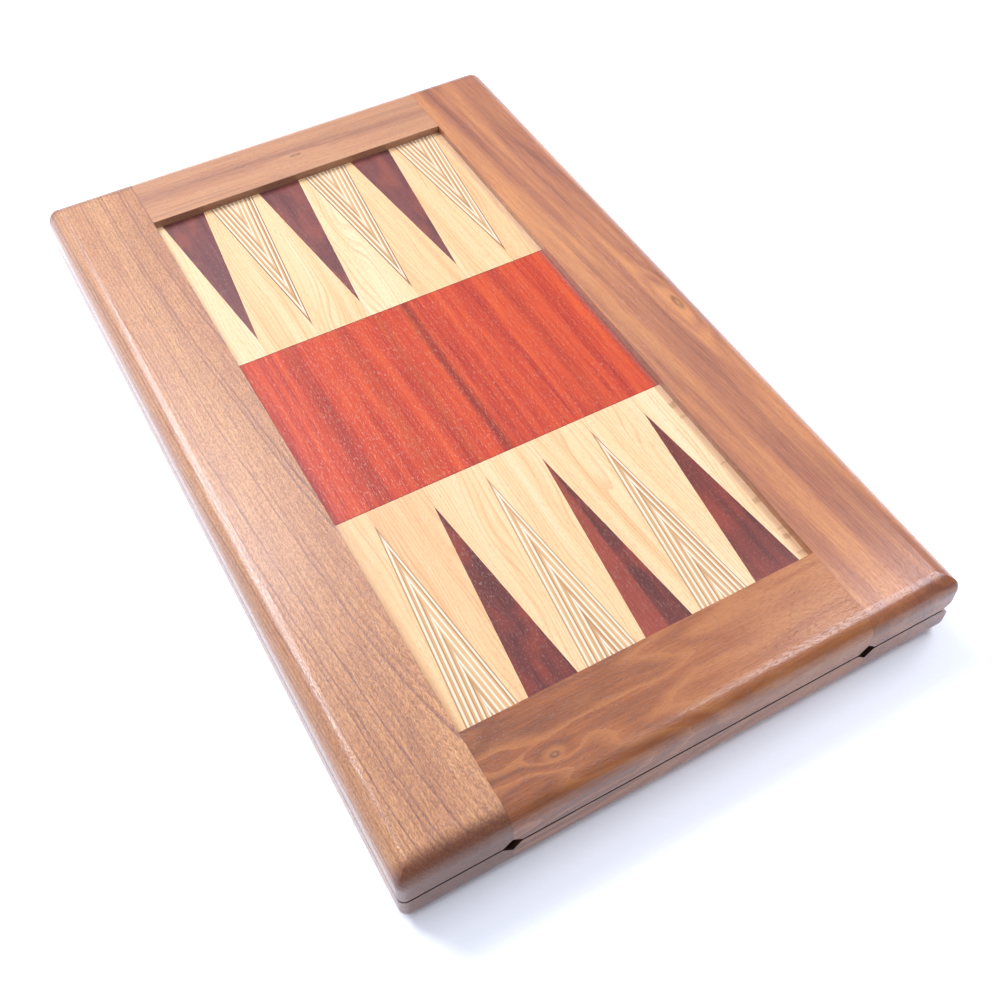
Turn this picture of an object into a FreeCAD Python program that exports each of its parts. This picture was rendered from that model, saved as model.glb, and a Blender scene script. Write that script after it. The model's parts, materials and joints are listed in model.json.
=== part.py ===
"""Folding backgammon case: two framed halves that close on each other, with the playing field outside.

FreeCAD macro, millimetres. X runs along the short side, Y along the long side, Z up. The origin is on the
floor under the middle of the closed case. Each half is drawn in its own frame, with z = 0 on its meeting
face and +Z towards its playing field, then placed: the upper half as drawn, the lower half turned over
about the Y axis. Both hinge on the long side at +X.
"""
import FreeCAD, Part
import math
import os
import Sketcher

SIZES = {
    # the closed case
    "case_length": 610,
    "case_width": 380,
    "case_height": 58,
    "closing_gap": 1,
    # the four rails of a half
    "side_rail": 68,
    "end_rail": 60,
    "edge_round": 13,
    "near_left_round": 5,
    "far_left_round": 9,
    "near_right_round": 4,
    "far_right_round": 12,
    "arris": 0.3,
    "hinge_edge_round": 13,
    "notch": 6.5,
    # the framed panel: inlay on a plywood core, with a backing veneer inside
    "panel_recess": 6,
    "groove_deep": 12.5,
    "panel_play": 1,
    "inlay_thick": 3,
    "core_thick": 4.2,
    "backing_thick": 0.8,
    # the playing field
    "centre_length": 158,
    "edge_strip": 5,
    "first_point": 22.5,
    "point_pitch": 39.6,
    "dark_base": 33.5,
    "dark_length": 150,
    "striped_base": 34,
    "striped_length": 155,
    # storage inside
    "divider_thick": 8,
    "divider_drop": 0.3,
    "lining_thick": 1.2,
    # closing magnets
    "magnet_radius": 6,
    "magnet_thick": 3,
    "magnet_fit": 0.05,
    "magnet_spacing": 360,
    # butt hinges
    "hinge_spacing": 210,
    "hinge_length": 60,
    "hinge_offset": 0.3,
    "leaf_wide": 30,
    "leaf_thick": 1.5,
    "knuckle_radius": 2.5,
    "knuckle_gap": 0.3,
    "barrel_gap": 0.4,
    "pin_radius": 1.25,
    "pin_fit": 0.05,
    "mortise_fit": 0.1,
    # countersunk hinge screws
    "screw_spacing": 22,
    "screw_inset": 9,
    "head_radius": 2.4,
    "head_height": 1.2,
    "shank_radius": 1.2,
    "screw_length": 10,
    "screw_point": 2,
    "slot_wide": 0.6,
    "slot_deep": 0.5,
    "screw_fit": 0.05,
}

POINTS_PER_END = 6
KNUCKLES = 5
HINGE_PLACES = (-1, 0, 1)
SCREW_PLACES = (-1, 0, 1)
NEAR, FAR = -1, 1
# The radius of each upright corner of the case.
CORNER_ROUNDS = {
    "left": {NEAR: "near_left_round", FAR: "far_left_round"},
    "right": {NEAR: "near_right_round", FAR: "far_right_round"},
}
OVERCUT = 1  # how far a cutter reaches past the wood
TOUCH = 0.01  # how near two coordinates are when they count as the same place


class Measure:
    """A length that knows both its value and the sheet formula behind it."""

    def __init__(self, value, formula=None):
        self.value = float(value)
        self.formula = formula or repr(float(value))

    def _join(self, other, sign, value):
        return Measure(value, f"({self.formula} {sign} {other.formula})")

    def __add__(self, other):
        other = measure(other)
        return self._join(other, "+", self.value + other.value)

    def __sub__(self, other):
        other = measure(other)
        return self._join(other, "-", self.value - other.value)

    def __mul__(self, other):
        other = measure(other)
        return self._join(other, "*", self.value * other.value)

    def __truediv__(self, other):
        other = measure(other)
        return self._join(other, "/", self.value / other.value)

    def __neg__(self):
        return self * -1

    __rmul__ = __mul__

    def __radd__(self, other):
        return measure(other) + self

    def __rsub__(self, other):
        return measure(other) - self


def measure(value):
    return value if isinstance(value, Measure) else Measure(value)


doc = FreeCAD.newDocument("backgammon_case")
sheet = doc.addObject("Spreadsheet::Sheet", "sizes")
for row, (alias, number) in enumerate(SIZES.items(), start=1):
    sheet.set(f"A{row}", alias)
    sheet.set(f"B{row}", str(number))
    sheet.setAlias(f"B{row}", alias)
doc.recompute()
size = {alias: Measure(number, f"sizes.{alias}") for alias, number in SIZES.items()}

# Lengths that follow from the driving ones.
half_thick = (size["case_height"] - size["closing_gap"]) / 2
outer_x = size["case_width"] / 2
outer_y = size["case_length"] / 2
inner_x = outer_x - size["side_rail"]
inner_y = outer_y - size["end_rail"]
field_z = half_thick - size["panel_recess"]
core_top_z = field_z - size["inlay_thick"]
backing_top_z = core_top_z - size["core_thick"]
panel_under_z = backing_top_z - size["backing_thick"]
panel_reach = size["groove_deep"] - size["panel_play"]
panel_x = inner_x + panel_reach
panel_y = inner_y + panel_reach
centre_y = size["centre_length"] / 2
hinge_x = outer_x + size["hinge_offset"]
hinge_z = size["closing_gap"] / -2
leaf_end_x = hinge_x - size["leaf_wide"]
leaf_start_x = hinge_x - size["knuckle_radius"] - size["barrel_gap"]
screw_x = hinge_x - size["leaf_wide"] + size["screw_inset"]
magnet_x = outer_x - size["side_rail"] / 2


def new(kind, name):
    return doc.addObject(kind, name)


def bind(thing, prop, length):
    """Tie one property of a document object to the sheet."""
    thing.setExpression(prop, measure(length).formula)


def place(thing, x=0, y=0, z=0, turn=None):
    """Put an object at a position tied to the sheet, with an optional (axis, degrees) turn."""
    if turn:
        axis, degrees = turn
        thing.Placement = FreeCAD.Placement(FreeCAD.Vector(), FreeCAD.Rotation(FreeCAD.Vector(*axis), degrees))
    for letter, length in zip("xyz", (x, y, z)):
        bind(thing, f"Placement.Base.{letter}", length)
    return thing


def box(name, low, high):
    """A Part::Box between two corners."""
    block = new("Part::Box", name)
    for prop, start, end in zip(("Length", "Width", "Height"), low, high):
        bind(block, prop, measure(end) - measure(start))
    return place(block, *low)


def cylinder(name, radius, height, at, turn=None):
    rod = new("Part::Cylinder", name)
    bind(rod, "Radius", radius)
    bind(rod, "Height", height)
    return place(rod, *at, turn=turn)


def cone(name, low_radius, high_radius, height, at):
    taper = new("Part::Cone", name)
    bind(taper, "Radius1", low_radius)
    bind(taper, "Radius2", high_radius)
    bind(taper, "Height", height)
    return place(taper, *at)


def fuse(name, things):
    union = new("Part::MultiFuse", name)
    union.Shapes = things
    union.Refine = True
    return union


def cut(name, base, tool):
    rest = new("Part::Cut", name)
    rest.Base = base
    rest.Tool = tool
    return rest


def group(name, things):
    """Separate solids drawn where they belong in their half, so that they can be placed as one node."""
    bundle = new("Part::Compound", name)
    bundle.Links = things
    return bundle


# ---- PartDesign helpers ------------------------------------------------------------------------------


def new_body(name):
    return new("PartDesign::Body", name)


def origin_plane(body, role):
    return next(feature for feature in body.Origin.OriginFeatures if feature.Role == role)


def new_sketch(body, name, role, lift=0):
    """A sketch on one of the body's own origin planes, lifted along that plane's normal."""
    sketch = body.newObject("Sketcher::SketchObject", name)
    sketch.AttachmentSupport = [(origin_plane(body, role), "")]
    sketch.MapMode = "FlatFace"
    bind(sketch, "AttachmentOffset.Base.z", lift)
    return sketch


def fix_point(sketch, geometry, end, u, v):
    """Hold one point of a sketch at u, v from its origin."""
    for kind, axis, length in (("DistanceX", -2, measure(u)), ("DistanceY", -1, measure(v))):
        if abs(length.value) < TOUCH:
            sketch.addConstraint(Sketcher.Constraint("PointOnObject", geometry, end, axis))
            continue
        index = sketch.addConstraint(Sketcher.Constraint(kind, -1, 1, geometry, end, length.value))
        sketch.setExpression(f"Constraints[{index}]", length.formula)


def draw_polygon(sketch, corners):
    corners = [(measure(u), measure(v)) for u, v in corners]
    spots = [FreeCAD.Vector(u.value, v.value, 0) for u, v in corners]
    first = sketch.GeometryCount
    count = len(corners)
    for index in range(count):
        sketch.addGeometry(Part.LineSegment(spots[index], spots[(index + 1) % count]), False)
    for index in range(count):
        after = first + (index + 1) % count
        sketch.addConstraint(Sketcher.Constraint("Coincident", first + index, 2, after, 1))
    for index, (u, v) in enumerate(corners):
        fix_point(sketch, first + index, 1, u, v)


def draw_rectangle(sketch, low_u, low_v, high_u, high_v):
    draw_polygon(sketch, [(low_u, low_v), (high_u, low_v), (high_u, high_v), (low_u, high_v)])


def draw_circle(sketch, u, v, radius):
    u, v, radius = measure(u), measure(v), measure(radius)
    centre = FreeCAD.Vector(u.value, v.value, 0)
    circle = sketch.addGeometry(Part.Circle(centre, FreeCAD.Vector(0, 0, 1), radius.value), False)
    fix_point(sketch, circle, 3, u, v)
    index = sketch.addConstraint(Sketcher.Constraint("Radius", circle, radius.value))
    sketch.setExpression(f"Constraints[{index}]", radius.formula)


def draw_corner_cutter(sketch, corner_u, side_u, corner_v, side_v, radius):
    """The waste outside a quarter round, at a corner that points to side_u, side_v."""
    corner_u, corner_v, radius = measure(corner_u), measure(corner_v), measure(radius)
    centre_u = corner_u - side_u * radius
    centre_v = corner_v - side_v * radius
    corner = FreeCAD.Vector(corner_u.value, corner_v.value, 0)
    on_base = FreeCAD.Vector(centre_u.value, corner_v.value, 0)
    on_side = FreeCAD.Vector(corner_u.value, centre_v.value, 0)
    centre = FreeCAD.Vector(centre_u.value, centre_v.value, 0)
    lean = radius.value * math.sqrt(0.5)
    middle = centre + FreeCAD.Vector(side_u * lean, side_v * lean, 0)
    base_line = sketch.addGeometry(Part.LineSegment(corner, on_base), False)
    side_line = sketch.addGeometry(Part.LineSegment(on_side, corner), False)
    arc = sketch.addGeometry(Part.Arc(on_base, middle, on_side), False)
    turned = side_u == side_v
    arc_centre, arc_start, arc_end = 3, (1, 2)[turned], (2, 1)[turned]
    sketch.addConstraint(Sketcher.Constraint("Coincident", base_line, 2, arc, arc_start))
    sketch.addConstraint(Sketcher.Constraint("Coincident", side_line, 1, arc, arc_end))
    sketch.addConstraint(Sketcher.Constraint("Coincident", side_line, 2, base_line, 1))
    fix_point(sketch, base_line, 1, corner_u, corner_v)
    fix_point(sketch, base_line, 2, centre_u, corner_v)
    sketch.addConstraint(Sketcher.Constraint("Vertical", arc, arc_centre, base_line, 2))
    sketch.addConstraint(Sketcher.Constraint("Horizontal", arc, arc_centre, side_line, 1))
    sketch.addConstraint(Sketcher.Constraint("Vertical", side_line))


def add_pad(body, sketch, name, length):
    pad = body.newObject("PartDesign::Pad", name)
    pad.Profile = sketch
    bind(pad, "Length", length)
    doc.recompute()
    return pad


def add_pocket(body, sketch, name, length, through=False, upward=False):
    """A pocket that must take wood away: `through` cuts both ways, `upward` along the plane's normal."""
    before = body.Shape.Volume
    pocket = body.newObject("PartDesign::Pocket", name)
    pocket.Profile = sketch
    pocket.Midplane = through
    pocket.Reversed = upward
    bind(pocket, "Length", length)
    doc.recompute()
    if not body.Shape.Volume < before - TOUCH:
        raise RuntimeError(f"{body.Label}: {name} cuts nothing")
    return pocket


def turn_corner(body, name, side, end, radius):
    """Carry the outer round-over round one upright corner of the case, as a cutter following it would.

    The cutter's profile turns about the upright line at the middle of the corner's own round.
    """
    pivot_x = side * (outer_x - radius)
    pivot_y = end * (outer_y - radius)
    profile = new_sketch(body, name + "_profile", "XZ_Plane")
    towards_corner = FreeCAD.Rotation(FreeCAD.Vector(0, 1, 0), math.degrees(math.atan2(end, side)))
    profile.AttachmentOffset = FreeCAD.Placement(FreeCAD.Vector(), towards_corner)
    bind(profile, "AttachmentOffset.Base.x", pivot_x)
    bind(profile, "AttachmentOffset.Base.z", -pivot_y)
    round_u, round_v = radius - size["edge_round"], half_thick - size["edge_round"]
    rise = math.sqrt(size["edge_round"].value ** 2 - round_u.value ** 2)
    bend = math.atan2(rise, -round_u.value) / 2
    spots = [FreeCAD.Vector(u.value, v.value, 0) for u, v in (
        (radius, round_v), (radius + OVERCUT, round_v), (radius + OVERCUT, half_thick + OVERCUT),
        (measure(0), half_thick + OVERCUT))]
    top = FreeCAD.Vector(0, round_v.value + rise, 0)
    middle = FreeCAD.Vector(round_u.value, round_v.value, 0) + FreeCAD.Vector(
        math.cos(bend), math.sin(bend), 0) * size["edge_round"].value
    for start, stop in zip(spots, spots[1:] + [top]):
        profile.addGeometry(Part.LineSegment(start, stop), False)
    profile.addGeometry(Part.Arc(spots[0], middle, top), False)
    for line in range(3):
        profile.addConstraint(Sketcher.Constraint("Coincident", line, 2, line + 1, 1))
    profile.addConstraint(Sketcher.Constraint("Coincident", 3, 2, 4, 2))
    profile.addConstraint(Sketcher.Constraint("Coincident", 0, 1, 4, 1))
    fix_point(profile, 0, 1, radius, round_v)
    fix_point(profile, 1, 1, radius + OVERCUT, round_v)
    fix_point(profile, 2, 1, radius + OVERCUT, half_thick + OVERCUT)
    fix_point(profile, 3, 1, 0, half_thick + OVERCUT)
    profile.addConstraint(Sketcher.Constraint("PointOnObject", 3, 2, -2))
    fix_point(profile, 4, 3, round_u, round_v)
    before = body.Shape.Volume
    groove = body.newObject("PartDesign::Groove", name)
    groove.Profile = profile
    groove.ReferenceAxis = (profile, ["V_Axis"])
    groove.Midplane = True
    groove.Angle = 90
    doc.recompute()
    if not body.Shape.Volume < before - TOUCH:
        raise RuntimeError(f"{body.Label}: {name} cuts nothing")
    return groove


def edges_where(shape, test):
    return [f"Edge{number}" for number, edge in enumerate(shape.Edges, start=1) if test(edge.BoundBox)]


def same(one, other):
    return abs(one - measure(other).value) < TOUCH


def dress_edges(body, kind, name, amount, test):
    """Fillet or chamfer every edge of the body's last shape that passes the test."""
    tip = body.Tip
    names = edges_where(tip.Shape, test)
    if not names:
        raise RuntimeError(f"{body.Label}: {name} finds no edge")
    dressing = body.newObject(f"PartDesign::{kind}", name)
    dressing.Base = (tip, names)
    bind(dressing, "Radius" if kind == "Fillet" else "Size", amount)
    doc.recompute()
    return dressing


# ---- The halves --------------------------------------------------------------------------------------


class Half:
    """One half of the case: its name, where it is placed, and which side of its own frame is hinged."""

    def __init__(self, name, hinged_side, turn, lift):
        self.name = name
        self.hinged_side = hinged_side
        self.turn = turn
        self.lift = lift

    def label(self, piece):
        return f"{self.name}_{piece}"

    def side_name(self, side):
        """Left and right as seen on the closed case from above, with the hinges on the right."""
        return "right" if side == self.hinged_side else "left"

    def settle(self, thing, piece):
        """Name a finished piece of this half and put it where the half stands."""
        thing.Label = self.label(piece)
        place(thing, 0, 0, self.lift, turn=self.turn)
        return thing


HALVES = [
    Half("upper", 1, ((0, 1, 0), 0), (size["case_height"] + size["closing_gap"]) / 2),
    Half("lower", -1, ((0, 1, 0), 180), half_thick),
]


def hinge_rectangles(sketch, side, low_x, high_x, slack=0):
    for place_along in HINGE_PLACES:
        middle = size["hinge_spacing"] * place_along
        reach = size["hinge_length"] / 2 + slack
        low_u, high_u = (low_x, high_x) if side > 0 else (-high_x, -low_x)
        draw_rectangle(sketch, low_u, middle - reach, high_u, middle + reach)


def screw_spots():
    """How far along Y each hinge screw of one half stands."""
    for place_along in HINGE_PLACES:
        for screw in SCREW_PLACES:
            yield size["hinge_spacing"] * place_along + size["screw_spacing"] * screw


def side_rail(half, side):
    """A long rail: rounded outside, grooved inside for the panel, bevelled along the storage edge."""
    side_name = half.side_name(side)
    hinged = side_name == "right"
    body = new_body(half.label(side_name + "_rail"))
    plan = new_sketch(body, body.Name + "_plan", "XY_Plane")
    low_u, high_u = (inner_x, outer_x) if side > 0 else (-outer_x, -inner_x)
    draw_rectangle(plan, low_u, -outer_y, high_u, outer_y)
    add_pad(body, plan, body.Name + "_blank", half_thick)

    face_x = outer_x * side
    joint_x = inner_x * side

    def storage_edge(b):
        return same(b.ZMax, 0) and same(b.XMin, joint_x) and same(b.XMax, joint_x)

    dress_edges(body, "Chamfer", body.Name + "_bevel", size["notch"], storage_edge)

    # The long and the end round-overs meet in a mitre, which turn_corner then takes off.
    long_round = new_sketch(body, body.Name + "_long_round_profile", "XZ_Plane")
    draw_corner_cutter(long_round, face_x, side, half_thick, 1, size["edge_round"])
    draw_corner_cutter(long_round, face_x, side, 0, -1, size["hinge_edge_round" if hinged else "arris"])
    add_pocket(body, long_round, body.Name + "_long_round", size["case_length"] * 2, through=True)
    end_round = new_sketch(body, body.Name + "_end_round_profile", "YZ_Plane")
    corners = new_sketch(body, body.Name + "_corner_plan", "XY_Plane")
    for end in (NEAR, FAR):
        draw_corner_cutter(end_round, outer_y * end, end, half_thick, 1, size["edge_round"])
        draw_corner_cutter(end_round, outer_y * end, end, 0, -1, size["arris"])
    for end, alias in CORNER_ROUNDS[side_name].items():
        draw_corner_cutter(corners, face_x, side, outer_y * end, end, size[alias])
    add_pocket(body, end_round, body.Name + "_end_round", size["case_width"] * 2, through=True)
    add_pocket(body, corners, body.Name + "_corners", size["case_height"] * 2, through=True)
    for end, alias in CORNER_ROUNDS[side_name].items():
        turn_corner(body, f"{body.Name}_{alias}", side, end, size[alias])

    groove = new_sketch(body, body.Name + "_groove_profile", "XZ_Plane")
    low_u, high_u = sorted((joint_x, joint_x + side * size["groove_deep"]), key=lambda m: m.value)
    draw_rectangle(groove, low_u, panel_under_z, high_u, field_z)
    add_pocket(body, groove, body.Name + "_groove", size["case_length"] * 2, through=True)

    if hinged:
        mortises = new_sketch(body, body.Name + "_mortise_plan", "XY_Plane")
        hinge_rectangles(mortises, side, leaf_end_x - size["mortise_fit"], outer_x + OVERCUT, size["mortise_fit"])
        add_pocket(body, mortises, body.Name + "_mortises", size["leaf_thick"], upward=True)
        pilots = new_sketch(body, body.Name + "_pilot_plan", "XY_Plane")
        for along in screw_spots():
            draw_circle(pilots, screw_x * side, along, size["shank_radius"] + size["screw_fit"])
        depth = size["screw_length"] + size["screw_fit"]
        add_pocket(body, pilots, body.Name + "_pilots", depth, upward=True)
    else:
        seats = new_sketch(body, body.Name + "_magnet_plan", "XY_Plane")
        for end in (NEAR, FAR):
            along = size["magnet_spacing"] / 2 * end
            draw_circle(seats, magnet_x * side, along, size["magnet_radius"] + size["magnet_fit"])
        depth = size["magnet_thick"] + size["magnet_fit"] * 2
        add_pocket(body, seats, body.Name + "_magnet_seats", depth, upward=True)
    return half.settle(body, side_name + "_rail")


def end_rail(half, end):
    """A short rail between the long ones, held by a stub tongue in each of their grooves."""
    end_name = "far" if end == FAR else "near"
    body = new_body(half.label(end_name + "_rail"))
    tongue_x = inner_x + size["groove_deep"]
    plan = new_sketch(body, body.Name + "_plan", "XY_Plane")
    low_v, high_v = (inner_y, outer_y) if end == FAR else (-outer_y, -inner_y)
    draw_rectangle(plan, -tongue_x, low_v, tongue_x, high_v)
    add_pad(body, plan, body.Name + "_blank", half_thick)

    face_y = outer_y * end
    joint_y = inner_y * end

    def outer_edge(height):
        return lambda b: same(b.ZMin, height) and same(b.ZMax, height) and same(b.YMin, face_y) and same(
            b.YMax, face_y)

    dress_edges(body, "Fillet", body.Name + "_outer_edge", size["edge_round"], outer_edge(half_thick))
    dress_edges(body, "Fillet", body.Name + "_meeting_edge", size["arris"], outer_edge(0))

    # The waste above each tongue, and below it with the 45 degree notch at the meeting face.
    over = 1
    above = [(inner_x, field_z), (tongue_x + over, field_z), (tongue_x + over, half_thick + over),
             (inner_x, half_thick + over)]
    below = [(inner_x - size["notch"] - over, -over), (tongue_x + over, -over), (tongue_x + over, panel_under_z),
             (inner_x, panel_under_z), (inner_x, size["notch"])]
    shoulders = new_sketch(body, body.Name + "_shoulder_profile", "XZ_Plane")
    for side in (-1, 1):
        for waste in (above, below):
            draw_polygon(shoulders, [(u * side, v) for u, v in waste])
    add_pocket(body, shoulders, body.Name + "_shoulders", size["case_length"] * 2, through=True)

    groove = new_sketch(body, body.Name + "_groove_profile", "YZ_Plane")
    low_u, high_u = sorted((joint_y, joint_y + end * size["groove_deep"]), key=lambda m: m.value)
    draw_rectangle(groove, low_u, panel_under_z, high_u, field_z)
    add_pocket(body, groove, body.Name + "_groove", size["case_width"] * 2, through=True)
    return half.settle(body, end_name + "_rail")


def panel_layer(half, piece, low_z, high_z):
    """One sheet of the panel, reaching into the grooves of all four rails."""
    layer = box(half.label(piece + "_sheet"), (-panel_x, -panel_y, low_z), (panel_x, panel_y, high_z))
    return half.settle(group(half.label(piece + "_layer"), [layer]), piece)


def point_centre(index):
    return size["first_point"] - inner_x + size["point_pitch"] * index


def point_is_dark(end, index):
    """Dark and striped points take turns, starting dark at the far end and striped at the near end."""
    return index % 2 == (0 if end == FAR else 1)


def point_wedge(name, end, index):
    """A tapered point, from its base inside the panel groove to its sharp tip."""
    kind = "dark" if point_is_dark(end, index) else "striped"
    tip = size[kind + "_length"]
    spread = size[kind + "_base"] / 2 * ((tip + panel_reach) / tip)
    wedge = new("Part::Wedge", name)
    limits = {
        "Xmin": -spread, "Xmax": spread, "X2min": 0, "X2max": 0,
        "Ymin": -panel_reach, "Ymax": tip,
        "Zmin": core_top_z, "Zmax": field_z, "Z2min": core_top_z, "Z2max": field_z,
    }
    for prop, limit in limits.items():
        bind(wedge, prop, limit)
    turn = ((0, 0, 1), 180 if end == FAR else 0)
    return place(wedge, point_centre(index), inner_y * end, 0, turn=turn)


def points(half, end):
    """The six points of one end, each a node of its own; returns the wedges for cutting the field."""
    end_name = "far" if end == FAR else "near"
    numbers = {"dark": 0, "striped": 0}
    wedges = []
    nodes = []
    for index in range(POINTS_PER_END):
        kind = "dark" if point_is_dark(end, index) else "striped"
        numbers[kind] += 1
        piece = f"{end_name}_{kind}_point_{numbers[kind]}"
        wedge = point_wedge(half.label(piece) + "_wedge", end, index)
        wedges.append(wedge)
        nodes.append(half.settle(group(half.label(piece), [wedge]), piece))
    return wedges, nodes


def field(half, end, wedges):
    """Pale strips between the centre lines of neighbouring points, each cut to the points' edges."""
    end_name = "far" if end == FAR else "near"
    seams = [-panel_x] + [point_centre(index) for index in range(POINTS_PER_END)]
    seams.append(inner_x - size["edge_strip"])
    low_y, high_y = (centre_y, panel_y) if end == FAR else (-panel_y, -centre_y)
    strips = []
    for index, (left, right) in enumerate(zip(seams, seams[1:])):
        name = f"{half.name}_{end_name}_strip_{index + 1}"
        strip = box(name + "_blank", (left, low_y, core_top_z), (right, high_y, field_z))
        neighbours = wedges[max(index - 1, 0):index + 1]
        for number, wedge in enumerate(neighbours):
            strip = cut(f"{name}_cut_{number + 1}", strip, wedge)
        strips.append(strip)
    return half.settle(group(half.label(end_name + "_field"), strips), end_name + "_field")


def edge_strip(half):
    """The narrow filler beside the fields, along one wall of the recess."""
    pieces = []
    for end, low_y, high_y in ((NEAR, -panel_y, -centre_y), (FAR, centre_y, panel_y)):
        low = (inner_x - size["edge_strip"], low_y, core_top_z)
        pieces.append(box(f"{half.name}_filler_{end}", low, (panel_x, high_y, field_z)))
    return half.settle(group(half.label("edge_strip"), pieces), "edge_strip")


def centre_board(half):
    board = box(half.name + "_board", (-panel_x, -centre_y, core_top_z), (panel_x, centre_y, field_z))
    return half.settle(group(half.label("centre_board"), [board]), "centre_board")


def dividers(half):
    """Two bars across the inside, in line with the ends of the centre board."""
    bars = []
    for end in (NEAR, FAR):
        low_y = centre_y * end - size["divider_thick"] / 2
        low = (-inner_x, low_y, size["divider_drop"])
        high = (inner_x, low_y + size["divider_thick"], panel_under_z)
        bars.append(box(f"{half.name}_bar_{end}", low, high))
    return half.settle(group(half.label("divider_bars"), bars), "divider_bars")


def lining(half):
    """Three sheets of felt, one on the panel's inside face in each bay."""
    wall = size["divider_thick"] / 2
    bays = [(-inner_y, -centre_y - wall), (-centre_y + wall, centre_y - wall), (centre_y + wall, inner_y)]
    sheets = []
    for index, (low_y, high_y) in enumerate(bays, start=1):
        low = (-inner_x, low_y, panel_under_z - size["lining_thick"])
        sheets.append(box(f"{half.name}_felt_{index}", low, (inner_x, high_y, panel_under_z)))
    return half.settle(group(half.label("lining"), sheets), "lining")


def magnets(half):
    discs = []
    for end in (NEAR, FAR):
        at = (magnet_x * -half.hinged_side, size["magnet_spacing"] / 2 * end, size["magnet_fit"])
        discs.append(cylinder(f"{half.name}_disc_{end}", size["magnet_radius"], size["magnet_thick"], at))
    return half.settle(group(half.label("magnets"), discs), "magnets")


def knuckle_spans(middle, owner):
    """Where the knuckles of one leaf start and end along Y; the lower leaf has the odd ones."""
    pitch = size["hinge_length"] / KNUCKLES
    start = middle - size["hinge_length"] / 2
    for index in range(KNUCKLES):
        if (index % 2 == 0) == (owner == "lower"):
            low = start + pitch * index
            high = low + pitch
            yield (low if index == 0 else low + size["knuckle_gap"] / 2,
                   high if index == KNUCKLES - 1 else high - size["knuckle_gap"] / 2)


def hinge_leaf(half, number):
    """A flat leaf with its knuckles rolled round the pin, and a countersunk hole for each screw."""
    side = half.hinged_side
    name = f"{half.name}_leaf_{number}"
    middle = size["hinge_spacing"] * HINGE_PLACES[number - 1]
    reach = size["hinge_length"] / 2

    def flanked(name, near_x, far_x, low_y, high_y):
        low_x, high_x = (near_x, far_x) if side > 0 else (-far_x, -near_x)
        return box(name, (low_x, low_y, 0), (high_x, high_y, size["leaf_thick"]))

    solids = [flanked(name + "_plate", leaf_end_x, leaf_start_x, middle - reach, middle + reach)]
    for index, (low_y, high_y) in enumerate(knuckle_spans(middle, half.name)):
        solids.append(flanked(f"{name}_web_{index}", leaf_start_x, hinge_x, low_y, high_y))
        knuckle_name = f"{name}_knuckle_{index}"
        at = (hinge_x * side, high_y, hinge_z)
        solids.append(cylinder(knuckle_name, size["knuckle_radius"], high_y - low_y, at, ((1, 0, 0), 90)))
    bore_radius = size["pin_radius"] + size["pin_fit"]
    bore_at = (hinge_x * side, middle + reach + 1, hinge_z)
    holes = [cylinder(name + "_bore", bore_radius, size["hinge_length"] + 2, bore_at, ((1, 0, 0), 90))]
    for screw in SCREW_PLACES:
        at_y = middle + size["screw_spacing"] * screw
        spot = (screw_x * side, at_y, 0)
        fit = size["screw_fit"]
        holes.append(cone(f"{name}_sink_{screw}", size["head_radius"] + fit, size["shank_radius"] + fit,
                          size["head_height"], spot))
        holes.append(cylinder(f"{name}_hole_{screw}", size["shank_radius"] + fit, size["leaf_thick"], spot))
    leaf = cut(name, fuse(name + "_solid", solids), fuse(name + "_holes", holes))
    return half.settle(leaf, f"hinge_leaf_{number}")


def hinge_screws(half):
    """Countersunk slotted screws, flush with the leaves."""
    screws = []
    for index, along in enumerate(screw_spots(), start=1):
        name = f"{half.name}_screw_{index}"
        x = screw_x * half.hinged_side
        shank_end = size["screw_length"] - size["screw_point"]
        shank_low = size["head_height"]
        head = cone(name + "_head", size["head_radius"], size["shank_radius"], size["head_height"], (x, along, 0))
        shank = cylinder(name + "_shank", size["shank_radius"], shank_end - shank_low, (x, along, shank_low))
        point = cone(name + "_point", size["shank_radius"], 0, size["screw_point"], (x, along, shank_end))
        half_slot = size["slot_wide"] / 2
        slot_low = (x - size["head_radius"], along - half_slot, 0)
        slot_high = (x + size["head_radius"], along + half_slot, size["slot_deep"])
        slot = box(name + "_slot", slot_low, slot_high)
        screws.append(cut(name, fuse(name + "_solid", [head, shank, point]), slot))
    return half.settle(group(half.label("hinge_screws"), screws), "hinge_screws")


def hinge_pins():
    """One pin through the knuckles of each hinge, with its ends flush."""
    pins = []
    middle_z = size["case_height"] / 2
    for index, place_along in enumerate(HINGE_PLACES, start=1):
        end_y = size["hinge_spacing"] * place_along + size["hinge_length"] / 2
        at = (hinge_x, end_y, middle_z)
        pins.append(cylinder(f"pin_{index}", size["pin_radius"], size["hinge_length"], at, ((1, 0, 0), 90)))
    bundle = group("hinge_pin_set", pins)
    bundle.Label = "hinge_pins"
    return bundle


nodes = []
for half in HALVES:
    for side in (-1, 1):
        nodes.append(side_rail(half, side))
    for end in (NEAR, FAR):
        nodes.append(end_rail(half, end))
    nodes.append(panel_layer(half, "panel_core", backing_top_z, core_top_z))
    nodes.append(panel_layer(half, "panel_backing", panel_under_z, backing_top_z))
    nodes.append(centre_board(half))
    for end in (NEAR, FAR):
        wedges, point_nodes = points(half, end)
        nodes.extend(point_nodes)
        nodes.append(field(half, end, wedges))
    nodes.append(edge_strip(half))
    nodes.append(dividers(half))
    nodes.append(lining(half))
    nodes.append(magnets(half))
    for number in range(1, len(HINGE_PLACES) + 1):
        nodes.append(hinge_leaf(half, number))
    nodes.append(hinge_screws(half))
nodes.append(hinge_pins())
doc.recompute()

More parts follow.
